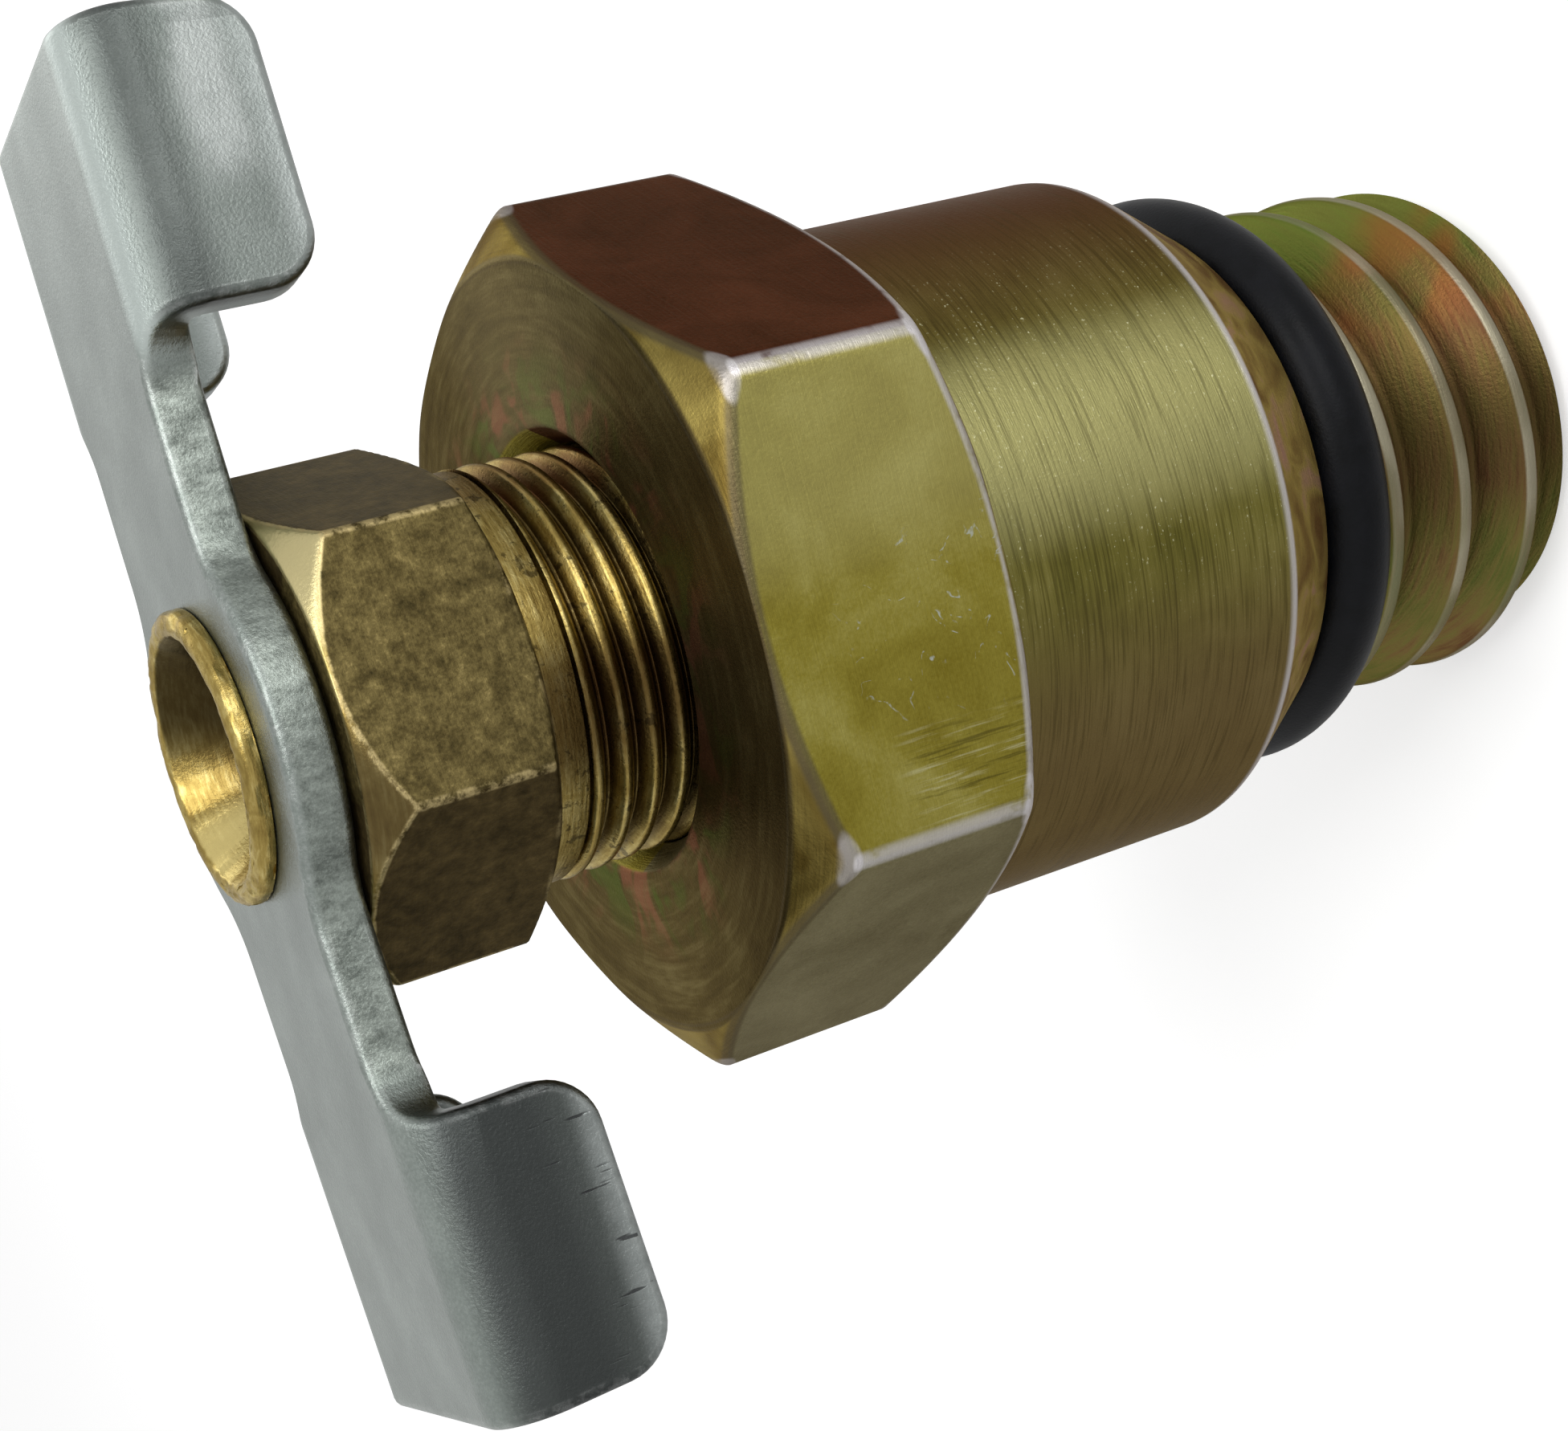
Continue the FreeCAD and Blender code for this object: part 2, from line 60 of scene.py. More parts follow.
CONE_RADIUS = 7.35
CONE_TOP = 12.0
BARREL_RADIUS = 8.83
BARREL_TOP = 20.45
HEX_TOP = 26.8
HEX_FLATS = 19.05
HEX_TURN = 51.7
HEX_FACE = 9.6
HEX_EDGE = 0.42
HEX_CHAMFER = math.radians(30)
MOUTH_RADIUS = 5.6
SOCKET_MOUTH = (5.06, 26.0)
SOCKET_END = (4.71, 14.8)
SOCKET_POINT = 13.93
SEAM = 0.1
AROUND = 360
CROWDING = 0.6


def draw(name, corners, closed=True):
    """Draws an outline in the XZ plane by extruding one vertex from corner to corner."""
    bpy.ops.mesh.primitive_plane_add(size=1)
    piece = bpy.context.object
    piece.name = name
    bpy.ops.object.mode_set(mode="EDIT")
    bpy.ops.mesh.merge(type="CENTER")
    here = (0, 0)
    for number, corner in enumerate(corners + corners[:1] if closed else corners):
        step = (corner[0] - here[0], 0, corner[1] - here[1])
        here = corner
        if number:
            bpy.ops.mesh.extrude_region_move(TRANSFORM_OT_translate={"value": step})
        else:
            bpy.ops.transform.translate(value=step)
    bpy.ops.mesh.select_all(action="SELECT")
    if closed:
        bpy.ops.mesh.remove_doubles(threshold=1e-4)
    bpy.ops.object.mode_set(mode="OBJECT")
    return piece


def rounded(corners, parts=3):
    """Swaps each corner that has a third number for a short curve that starts that far from it."""
    points = []
    for number, corner in enumerate(corners):
        if len(corner) < 3:
            points.append(corner)
            continue
        middle = Vector(corner[:2])
        before = Vector(corners[number - 1][:2]) - middle
        after = Vector(corners[(number + 1) % len(corners)][:2]) - middle
        start = middle + before.normalized() * corner[2]
        end = middle + after.normalized() * corner[2]
        for part in range(parts + 1):
            t = part / parts
            point = start * (1 - t) ** 2 + middle * 2 * t * (1 - t) + end * t ** 2
            points.append((point.x, point.y))
    return points


def mend_normals():
    """Merges doubles and points every face of the active piece outwards."""
    bpy.ops.object.mode_set(mode="EDIT")
    bpy.ops.mesh.select_all(action="SELECT")
    bpy.ops.mesh.remove_doubles(threshold=1e-4)
    bpy.ops.mesh.normals_make_consistent(inside=False)
    bpy.ops.object.mode_set(mode="OBJECT")


def turn(name, corners, steps=AROUND):
    """Spins a closed outline of (radius, height) corners about the thread axis."""
    piece = draw(name, rounded(corners))
    bpy.ops.object.mode_set(mode="EDIT")
    bpy.ops.mesh.spin(steps=steps, angle=math.tau, center=(0, 0, 0), axis=(0, 0, 1))
    bpy.ops.object.mode_set(mode="OBJECT")
    mend_normals()
    return piece


def rows(start, end, count):
    """Evenly spaced points from a start up to an end, which is left out."""
    shares = [part / count for part in range(count)]
    return [tuple(a + (b - a) * share for a, b in zip(start, end)) for share in shares]


def soft_min(first, second, width):
    """The smaller of two lengths, eased where they come within a width of each other."""
    near = max(width - abs(first - second), 0)
    return min(first, second) - near * near / width / 4


def corner_of(flats):
    """How far a hexagon's corners are from its axis, by its size across flats."""
    return flats / 2 / math.cos(math.radians(30))


def mill_hexagon(piece, flats, degrees, edge):
    """Mills six flats with softened edges on a turned blank, by moving its outer points in. All
    points are first crowded towards the six corners, where the edges need them."""
    sixth = math.radians(60)
    for vertex in piece.data.vertices:
        reach = math.hypot(vertex.co.x, vertex.co.y)
        angle = math.atan2(vertex.co.y, vertex.co.x) - math.radians(degrees)
        angle -= CROWDING * math.sin(6 * angle) / 6
        fold = min(angle % sixth, -angle % sixth)
        near = flats / 2 / math.cos(sixth / 2 - fold)
        far = flats / 2 / math.cos(sixth / 2 + fold)
        reach = soft_min(reach, soft_min(near, far, edge), edge)
        angle += math.radians(degrees)
        vertex.co.x, vertex.co.y = reach * math.cos(angle), reach * math.sin(angle)


def combine(piece, tool, operation):
    """Joins, cuts or trims a piece with a tool, which is used up."""
    bpy.context.view_layer.objects.active = piece
    change = piece.modifiers.new(operation, "BOOLEAN")
    change.operation = operation
    change.solver = "EXACT"
    change.object = tool
    bpy.ops.object.modifier_apply(modifier=change.name)
    bpy.data.objects.remove(tool)


def thread_rod(name, crest, root, flat, pitch, valley, low, high, steps=96):
    """A solid rod with a right-hand thread. One turn's outline is screwed up the axis, and the
    rod is cut square at both ends. The valley is a height at +X where the thread is deepest."""
    slope = (crest - root) * math.tan(math.radians(30))
    land = (pitch - flat) / 2 - slope
    foot = valley - pitch * math.ceil((valley - low) / pitch + 1)
    outline = rounded([
        (root, foot),
        (root, foot + land, land * 0.6),
        (crest, foot + land + slope, flat * 0.42),
        (crest, foot + pitch - land - slope, flat * 0.42),
        (root, foot + pitch - land, land * 0.6),
        (root, foot + pitch),
    ])
    rod = draw(name, outline, closed=False)
    screw = rod.modifiers.new("screw", "SCREW")
    screw.screw_offset = pitch
    screw.iterations = math.ceil((high - foot) / pitch) + 1
    screw.steps = steps
    screw.render_steps = steps
    bpy.ops.object.modifier_apply(modifier=screw.name)
    mend_normals()
    bpy.ops.object.mode_set(mode="EDIT")
    bpy.ops.mesh.select_all(action="SELECT")
    bpy.ops.mesh.bisect(plane_co=(0, 0, low), plane_no=(0, 0, 1), use_fill=True, clear_inner=True)
    bpy.ops.mesh.select_all(action="SELECT")
    bpy.ops.mesh.bisect(plane_co=(0, 0, high), plane_no=(0, 0, 1), use_fill=True, clear_outer=True)
    bpy.ops.object.mode_set(mode="OBJECT")
    mend_normals()
    return rod


def settle(piece, finish, slot, body, *nodes, smooth=32):
    """Brings a finished piece to metres, dresses it and sets it in place of its solids."""
    bpy.ops.object.select_all(action="DESELECT")
    piece.select_set(True)
    bpy.context.view_layer.objects.active = piece
    bpy.ops.object.transform_apply(location=True, rotation=True, scale=True)
    piece.scale = (0.001, 0.001, 0.001)
    bpy.ops.object.transform_apply(location=True, rotation=True, scale=True)
    bpy.ops.object.shade_smooth_by_angle(angle=math.radians(smooth))
    shading = piece.modifiers.new("shading", "WEIGHTED_NORMAL")
    shading.keep_sharp = True
    bpy.ops.object.modifier_apply(modifier=shading.name)
    piece.data.materials.clear()
    piece.data.materials.append(finish)
    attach(piece, body)
    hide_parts(*nodes)
    piece.select_set(False)


# The blank is turned a little past the hexagon's corners, with a chamfer at both ends.
hex_blank = corner_of(HEX_FLATS) + 0.2
hex_rise = (hex_blank - HEX_FACE) * math.tan(HEX_CHAMFER)
adapter = turn("adapter", [
    (PASSAGE_RADIUS, SPIGOT_TOP - 1),
    (GROOVE_RADIUS - SEAM, SPIGOT_TOP - 1),
    (GROOVE_RADIUS - SEAM, GROOVE_TOP, 0.15),
    (CONE_RADIUS, GROOVE_TOP, 0.1),
    (BARREL_RADIUS, CONE_TOP, 0.1),
    (BARREL_RADIUS, BARREL_TOP, 0.08),
    *rows((HEX_FACE, BARREL_TOP), (hex_blank, BARREL_TOP + hex_rise), 14),
    *rows((hex_blank, BARREL_TOP + hex_rise), (hex_blank, HEX_TOP - hex_rise), 4),
    *rows((hex_blank, HEX_TOP - hex_rise), (HEX_FACE, HEX_TOP), 14),
    (HEX_FACE, HEX_TOP, 0.06),
    (MOUTH_RADIUS, HEX_TOP, 0.12),
    SOCKET_MOUTH,
    SOCKET_END,
    (PASSAGE_RADIUS, SOCKET_POINT),
])
mill_hexagon(adapter, HEX_FLATS, HEX_TURN, HEX_EDGE)
nose = turn("nose", [
    (PASSAGE_RADIUS, 0),
    (SPIGOT_RADIUS - NOSE_CHAMFER, 0, 0.1),
    (SPIGOT_RADIUS + SEAM, NOSE_CHAMFER + SEAM),
    (SPIGOT_RADIUS + SEAM, SPIGOT_TOP),
    (PASSAGE_RADIUS, SPIGOT_TOP),
], steps=180)
rod = thread_rod("rod", SPIGOT_RADIUS, SPIGOT_ROOT, SPIGOT_CREST, SPIGOT_PITCH, SPIGOT_VALLEY,
                 -1, SPIGOT_TOP + 0.5, steps=180)
combine(nose, rod, "INTERSECT")
combine(adapter, nose, "UNION")


def shade(red, green, blue):
    """A colour as a screen shows it, turned into the light values that shaders use."""
    parts = [part / 255 for part in (red, green, blue)]
    light = [p / 12.92 if p <= 0.04045 else ((p + 0.055) / 1.055) ** 2.4 for p in parts]
    return (*light, 1)


class Wire:
    """A shader socket that takes part in Python arithmetic, each step being a Math node."""

    def __init__(self, tree, socket=None):
        self.tree = tree
        self.socket = socket

    def node(self, kind, settings=None, values=None, output=0):
        """Adds a node: its settings first, then the values or links of its sockets."""
        made = self.tree.nodes.new("ShaderNode" + kind)
        for name, value in (settings or {}).items():
            if name != "stops":
                setattr(made, name, value)
                continue
            for number, (place, colour) in enumerate(value):
                stops = made.color_ramp.elements
                stop = stops[number] if number < 2 else stops.new(place)
                stop.position = place
                stop.color = colour
        for name, value in (values or {}).items():
            if isinstance(value, Wire):
                self.tree.links.new(value.socket, made.inputs[name])
            else:
                made.inputs[name].default_value = value
        return Wire(self.tree, made.outputs[output])

    def math(self, operation, first, second=0.0):
        return self.node("Math", {"operation": operation}, {0: first, 1: second})

    def __add__(self, other):
        return self.math("ADD", self, other)

    def __sub__(self, other):
        return self.math("SUBTRACT", self, other)

    def __rsub__(self, other):
        return self.math("SUBTRACT", other, self)

    def __mul__(self, other):
        return self.math("MULTIPLY", self, other)

    def __truediv__(self, other):
        return self.math("DIVIDE", self, other)

    def __pow__(self, other):
        return self.math("POWER", self, other)

    __radd__ = __add__
    __rmul__ = __mul__

    def rise(self, low, high):
        """0 below low and 1 above high, or the reverse where low is the larger, with soft ends."""
        ends = {"Value": self, "From Min": low, "From Max": high}
        return self.node("MapRange", {"interpolation_type": "SMOOTHSTEP"}, ends)

    def blend(self, first, second):
        """The first colour where this is 0 and the second where it is 1."""
        return self.node("Mix", {"data_type": "RGBA"}, {0: self, 6: first, 7: second}, output=2)

    def ramp(self, *stops):
        """Colours at places from 0 to 1 along this value."""
        return self.node("ValToRGB", {"stops": stops}, {"Fac": self})

    def feed(self, socket):
        """Links this to a socket of the finish's shader."""
        self.tree.links.new(self.socket, self.tree.nodes["Principled BSDF"].inputs[socket])


class Surface:
    """A finish in the making, with the places on the piece that its patterns follow."""

    def __init__(self, name, metallic, roughness):
        self.finish = bpy.data.materials.new(name)
        self.finish.use_nodes = True
        tree = self.finish.node_tree
        tree.nodes["Principled BSDF"].inputs["Metallic"].default_value = metallic
        tree.nodes["Principled BSDF"].inputs["Roughness"].default_value = roughness
        self.start = Wire(tree)
        metres = self.start.node("TexCoord", output="Object")
        self.place = self.start.node("VectorMath", {"operation": "SCALE"}, {0: metres, "Scale": 1000.0})
        self.x, self.y, self.z = (
            self.start.node("SeparateXYZ", values={0: self.place}, output=axis) for axis in range(3)
        )
        self.radius = (self.x * self.x + self.y * self.y) ** 0.5

    def side(self, degrees, core, reach):
        """1 on the side that lies this way from the axis, within core degrees, and 0 past reach."""
        out = self.x * math.cos(math.radians(degrees)) + self.y * math.sin(math.radians(degrees))
        return (out / self.radius).rise(math.cos(math.radians(reach)), math.cos(math.radians(core)))

    def spots(self, size, detail=2.0, rough=0.5, vector=None, warp=0.0):
        """Even noise from 0 to 1 whose patches are about so many millimetres across."""
        values = {
            "Vector": vector or self.place,
            "Scale": 1 / size,
            "Detail": detail,
            "Roughness": rough,
            "Distortion": warp,
        }
        return self.start.node("TexNoise", values=values)

    def lathe(self, around, along):
        """Places for marks that run round the axis, stretched so far around and along it."""
        return self.start.node("CombineXYZ", values={
            0: self.x / self.radius * around,
            1: self.y / self.radius * around,
            2: along,
        })

    def stretched(self, *scales):
        """The place on the piece, with each of its three numbers scaled."""
        return self.start.node("VectorMath", {"operation": "MULTIPLY"}, {0: self.place, 1: scales})

    def stretch(self, amount, glint):
        """Draws gloss out across marks that run round the axis, as on a turned surface, and
        sets the colour that it has at a low angle."""
        shader = self.finish.node_tree.nodes["Principled BSDF"]
        shader.inputs["Anisotropic"].default_value = amount
        shader.inputs["Anisotropic Rotation"].default_value = 0.25
        shader.inputs["Specular Tint"].default_value = glint

    def edges(self, width):
        """1 on the edges of the piece, within about this width, and 0 on open faces."""
        flat = self.start.node("NewGeometry", output="Normal")
        soft = self.start.node("Bevel", {"samples": 6}, {"Radius": width / 1000})
        likeness = self.start.node(
            "VectorMath", {"operation": "DOT_PRODUCT"}, {0: flat, 1: soft}, output="Value")
        return (1 - likeness).rise(0.004, 0.06)

    def bump(self, height, depth):
        """Raises the surface by a height from 0 to 1 times a depth in millimetres."""
        values = {"Height": height, "Distance": depth / 1000, "Strength": 1.0}
        self.start.node("Bump", values=values).feed("Normal")


zinc = Surface("yellow_zinc", metallic=1.0, roughness=0.35)
zinc.stretch(0.6, (0.62, 0.56, 0.5, 1))
grain = zinc.spots(0.09, 3, 0.6)
cloud = zinc.spots(2.6, 3, 0.55, warp=0.6)
tint = zinc.spots(1.7, 2, 0.5, warp=1.0)
turned = zinc.spots(0.085, 2, 0.8, vector=zinc.lathe(0.25, zinc.z))
facing = zinc.spots(0.3, 4, 0.7, vector=zinc.lathe(1.0, zinc.radius))

# Barrel: olive with fine turning lines. Its red-brown top and brown lower side are plating tint
# deepened by painted shade, and a painted highlight band with painted glints runs along it.
barrel_colour = (cloud * 0.6 + turned * 0.4).ramp(
    (0.3, shade(84, 80, 34)), (0.5, shade(110, 104, 50)), (0.7, shade(134, 126, 72)))
# Red-brown top: plating tint deepened by painted shade.
barrel_colour = zinc.side(172, 12, 70).blend(barrel_colour, shade(84, 54, 38))
# Browner lower side: plating tint deepened by painted shade.
barrel_colour = (zinc.side(30, 10, 48) * 0.75).blend(barrel_colour, shade(104, 84, 58))
# A painted highlight band along one side.
barrel_colour = (zinc.side(98, 1, 20) * 0.8).blend(barrel_colour, shade(162, 158, 106))
barrel_colour = (turned.rise(0.5, 0.36) * 0.35).blend(barrel_colour, shade(60, 52, 28))
# Painted glints of grain within that band.
painted_glint = grain.rise(0.6, 0.7) * turned.rise(0.5, 0.62)
barrel_colour = (painted_glint * zinc.side(100, 8, 40) * 0.7).blend(barrel_colour, shade(222, 220, 180))
cone_colour = tint.ramp(
    (0.35, shade(104, 78, 46)), (0.55, shade(150, 130, 72)), (0.7, shade(160, 124, 104)))
barrel_colour = zinc.z.rise(CONE_TOP + 0.05, CONE_TOP - 0.05).blend(barrel_colour, cone_colour)

# Hexagon: each flat has its own tint; the red-brown flat's is deepened by painted shade, and the
# middle flat has a painted highlight towards one edge. A low corner is streaked and one flat is scuffed.
hex_colour = (cloud * 0.75 + grain * 0.25).ramp(
    (0.3, shade(112, 100, 30)), (0.5, shade(134, 124, 50)), (0.7, shade(154, 146, 78)))
middle = HEX_TURN + 30
# A painted highlight towards one edge of the middle flat.
hex_colour = (zinc.side(middle + 22, 5, 22) * 0.4).blend(hex_colour, shade(168, 162, 108))
# The red-brown flat: plating tint deepened by painted shade.
red_tint_and_shade = (cloud * 0.6 + grain * 0.4).ramp((0.35, shade(60, 31, 21)), (0.65, shade(88, 49, 34)))
grey_side = (cloud * 0.6 + grain * 0.4).ramp((0.35, shade(98, 93, 64)), (0.65, shade(132, 127, 96)))
for degrees, side_colour in ((60, red_tint_and_shade), (-60, grey_side), (180, grey_side)):
    hex_colour = zinc.side(middle + degrees, 29.6, 30.2).blend(hex_colour, side_colour)
waist = (HEX_TOP + BARREL_TOP) / 2
depth = HEX_TOP - waist - ((zinc.z - waist) ** 2) ** 0.5
chamfer = zinc.radius - HEX_FACE - depth / math.tan(HEX_CHAMFER)
chamfer_colour = cloud.ramp((0.35, shade(92, 76, 34)), (0.65, shade(146, 130, 70)))
hex_colour = chamfer.rise(-0.24, -0.14).blend(hex_colour, chamfer_colour)
low_end = zinc.side(HEX_TURN + 6, 3, 8) * zinc.z.rise(HEX_TOP - 2.2, HEX_TOP - 3.2)
streak = zinc.spots(0.13, 3, 0.7, vector=zinc.stretched(1, 1, 0.05))
hex_colour = (low_end * streak.rise(0.52, 0.7) * 0.7).blend(hex_colour, shade(184, 180, 140))
hex_colour = (low_end * streak.rise(0.46, 0.32) * 0.7).blend(hex_colour, shade(82, 74, 30))
handled = zinc.side(middle - 4, 6, 15) * zinc.z.rise(HEX_TOP - 1.6, HEX_TOP - 2.6)
trail = zinc.spots(1.2, 2, 0.6, warp=0.8)
scuff = trail.rise(0.487, 0.496) * trail.rise(0.513, 0.504) * zinc.spots(0.45, 3, 0.7).rise(0.52, 0.62)
hex_colour = (handled * scuff * 0.65).blend(hex_colour, shade(178, 186, 184))

# Face round the socket: dull olive turning marks, with pink and green bloom near the mouth, a
# faint painted highlight on one side and painted shade on another.
face_colour = (tint * 0.3 + facing * 0.7).ramp(
    (0.3, shade(60, 52, 30)), (0.5, shade(84, 74, 44)), (0.7, shade(112, 102, 66)))
plume = zinc.radius.rise(8.2, 6.0)
face_colour = (plume * tint.rise(0.5, 0.62) * 0.55).blend(face_colour, shade(136, 80, 66))
face_colour = (plume * tint.rise(0.46, 0.34) * 0.55).blend(face_colour, shade(76, 100, 44))
# A faint painted highlight on one side.
face_colour = (zinc.side(165, 5, 40) * 0.12).blend(face_colour, shade(164, 158, 126))
# Painted shade on another side.
face_colour = (zinc.side(75, 10, 60) * 0.5).blend(face_colour, shade(62, 48, 28))

# Spigot thread: green above and rusty on one side, with painted shade on another side, darker
# towards its roots, and pale on its crest, which is rubbed and has a painted highlight.
sheen = zinc.spots(1.2, 2, 0.45, vector=zinc.lathe(2.2, zinc.z * 0.5), warp=0.3)
thread_colour = (sheen * 0.6 + turned * 0.4).ramp(
    (0.36, shade(88, 92, 44)), (0.46, shade(106, 98, 52)), (0.56, shade(110, 90, 54)),
    (0.64, shade(98, 70, 46)))
thread_colour = (zinc.side(155, 8, 36) * 0.5).blend(thread_colour, shade(104, 128, 48))
rusty = zinc.side(124, 4, 24) * sheen.rise(0.42, 0.56)
thread_colour = (rusty * 0.6).blend(thread_colour, shade(146, 86, 46))
# Painted shade on one side.
thread_colour = (zinc.side(88, 10, 40) * 0.5).blend(thread_colour, shade(72, 48, 30))
# Darker towards the thread's roots.
root_darkening = zinc.radius.rise(SPIGOT_ROOT + 0.35, SPIGOT_ROOT)
thread_colour = (root_darkening * 0.5).blend(thread_colour, shade(60, 44, 26))
# The crest is rubbed pale and also carries a painted highlight.
crest = zinc.radius.rise(SPIGOT_RADIUS - 0.055, SPIGOT_RADIUS - 0.015)
thread_colour = (crest * (0.3 + sheen.rise(0.4, 0.6) * 0.4)).blend(thread_colour, shade(172, 168, 146))

colour = zinc.z.rise(HEX_TOP - 0.08, HEX_TOP - 0.02).blend(hex_colour, face_colour)
colour = zinc.z.rise(BARREL_TOP + 0.02, BARREL_TOP - 0.02).blend(colour, barrel_colour)
colour = zinc.z.rise(GROOVE_TOP + 0.02, GROOVE_TOP - 0.02).blend(colour, thread_colour)
# Worn and lit edges: silver ridges between the flats, on the lower chamfer's brim and on the
# cone's lip, rubbed and with a painted highlight, and a dark line of painted shade under the upper chamfer.
hex_corner = corner_of(HEX_FLATS)
ridge = zinc.radius.rise(hex_corner - 0.17, hex_corner - 0.11)
corner = zinc.radius.rise(hex_corner - 0.6, hex_corner - 0.12) * chamfer.rise(-0.85, -0.1)
ridge = (ridge * 0.7 + corner.rise(0.2, 0.5) * 0.4) * chamfer.rise(0.02, -0.08)
brim = chamfer.rise(-0.48, -0.26) * chamfer.rise(-0.02, -0.1)
brim = brim * zinc.radius.rise(HEX_FLATS / 2 - 0.1, HEX_FLATS / 2)
lip = zinc.z.rise(CONE_TOP + 0.22, CONE_TOP + 0.02) * zinc.z.rise(CONE_TOP - 0.14, CONE_TOP - 0.02)
rubbed = (zinc.spots(0.7, 3, 0.6) * 1.3).rise(0.2, 0.62)
on_hex = zinc.z.rise(BARREL_TOP, BARREL_TOP + 0.1)
# A dark line of painted shade under the upper chamfer.
colour = (on_hex * brim * zinc.z.rise(waist - 1, waist + 1) * 0.8).blend(colour, shade(84, 76, 56))
# Silver edges: rubbed through, with a painted highlight.
worn = (ridge + brim * zinc.z.rise(waist + 1, waist - 1) * 0.7) * rubbed * on_hex + lip * 0.8
colour = worn.blend(colour, shade(200, 196, 196))
# Painted shade inside the passage.
inside = zinc.radius.rise(PASSAGE_RADIUS + 0.3, PASSAGE_RADIUS + 0.05)
colour = (inside * 0.6).blend(colour, shade(50, 46, 34))
colour.feed("Base Color")
(0.3 + grain * 0.14 + turned * 0.1).feed("Roughness")
zinc.bump(turned * 0.55 + grain * 0.45, 0.025)

settle(adapter, zinc.finish, "zinc_steel", "fitting", "adapter_body")

# Rubber ring: black and moulded, sitting between the thread and the sealing cone.
RING_RADIUS = 6.75
RING_SECTION = 2.1
ring_height = (SPIGOT_TOP + GROOVE_TOP) / 2

bpy.ops.mesh.primitive_torus_add(
    location=(0, 0, ring_height), major_segments=180, minor_segments=48,
    major_radius=RING_RADIUS, minor_radius=RING_SECTION / 2)
ring = bpy.context.object
ring.name = "o_ring"
rubber = Surface("black_rubber", metallic=0.0, roughness=0.42)
rubber.finish.node_tree.nodes["Principled BSDF"].inputs["Specular IOR Level"].default_value = 0.12
bloom = rubber.spots(0.9, 4, 0.6)
bloom.ramp((0.35, shade(4, 5, 7)), (0.65, shade(12, 13, 17))).feed("Base Color")
(0.3 + bloom * 0.2).feed("Roughness")
rubber.bump(rubber.spots(0.08, 2), 0.006)
settle(ring, rubber.finish, "black_rubber", "fitting", "adapter_o_ring")

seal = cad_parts["stem_seal_ring"]
seal.data.materials.clear()
seal.data.materials.append(rubber.finish)

# Brass cock body: turned from hexagon bar, with a taper pipe thread in the adapter's socket.
# The hexagon is brown with age, and its chamfer, relief and thread are still bright.
PIPE_RADIUS = 5.12
PIPE_ROOT = 4.72
PIPE_PITCH = 0.75
PIPE_CREST = 0.2
PIPE_TAPER = 0.03125
PIPE_END = 18.8
PIPE_TOP = 29.2
COLLAR_RADIUS = 5.08
NUT_BASE = 30.2
NUT_TOP = 34.8
NUT_FLATS = 10.92
NUT_TURN = 4.2
NUT_EDGE = 0.12
NUT_CHAMFER = math.radians(45)
HANDLE_BACK = 34.9
HANDLE_FRONT = 36.2
FLARE_TOP = 36.7
FLARE_MOUTH = 2.95
STEM_RADIUS = 3.1
STEM_BORE = STEM_RADIUS + 0.05
CHAMBER_RADIUS = 2.6
CHAMBER = (22.6, 28.2)
SEAT_RADIUS = 1.3
SEAT_TOP = 21.3

nut_blank = corner_of(NUT_FLATS) + 0.1
nut_rise = (nut_blank - NUT_FLATS / 2) * math.tan(NUT_CHAMFER)
cock = turn("cock", [
    (0, PIPE_TOP - 2),
    (PIPE_ROOT - 0.3, PIPE_TOP - 2),
    (PIPE_ROOT - 0.3, PIPE_TOP - 0.05),
    (PIPE_ROOT + 0.05, PIPE_TOP - 0.05),
    (PIPE_ROOT + 0.05, PIPE_TOP + 0.08),
    (COLLAR_RADIUS, PIPE_TOP + 0.08, 0.06),
    (COLLAR_RADIUS, NUT_BASE),
    *rows((NUT_FLATS / 2, NUT_BASE), (nut_blank, NUT_BASE + nut_rise / 2), 8),
    *rows((nut_blank, NUT_BASE + nut_rise / 2), (nut_blank, NUT_TOP - nut_rise), 4),
    *rows((nut_blank, NUT_TOP - nut_rise), (NUT_FLATS / 2, NUT_TOP), 14),
    (NUT_FLATS / 2, NUT_TOP, 0.05),
    (0, NUT_TOP),
], steps=240)
mill_hexagon(cock, NUT_FLATS, NUT_TURN, NUT_EDGE)
rod = thread_rod("pipe", PIPE_RADIUS, PIPE_ROOT, PIPE_CREST, PIPE_PITCH, PIPE_END, PIPE_END, PIPE_TOP)
for vertex in rod.data.vertices:
    share = 1 - PIPE_TAPER * (PIPE_TOP - vertex.co.z) / PIPE_RADIUS
    vertex.co.x *= share
    vertex.co.y *= share
combine(cock, rod, "UNION")
core = turn("core", [
    (0, PIPE_END - 1),
    (SEAT_RADIUS, PIPE_END - 1),
    (SEAT_RADIUS, SEAT_TOP),
    (CHAMBER_RADIUS, CHAMBER[0]),
    (CHAMBER_RADIUS, CHAMBER[1]),
    (STEM_BORE, CHAMBER[1]),
    (STEM_BORE, NUT_TOP + 1),
    (0, NUT_TOP + 1),
], steps=96)
combine(cock, core, "DIFFERENCE")

brass = Surface("tarnished_brass", metallic=1.0, roughness=0.3)
brass.stretch(0.5, (0.8, 0.76, 0.66, 1))
grain = brass.spots(0.09, 3, 0.65)
cloud = brass.spots(1.1, 4, 0.65, warp=0.8)
mottle = brass.spots(0.35, 4, 0.7)
turned = brass.spots(0.09, 3, 0.7, vector=brass.lathe(0.4, brass.z))
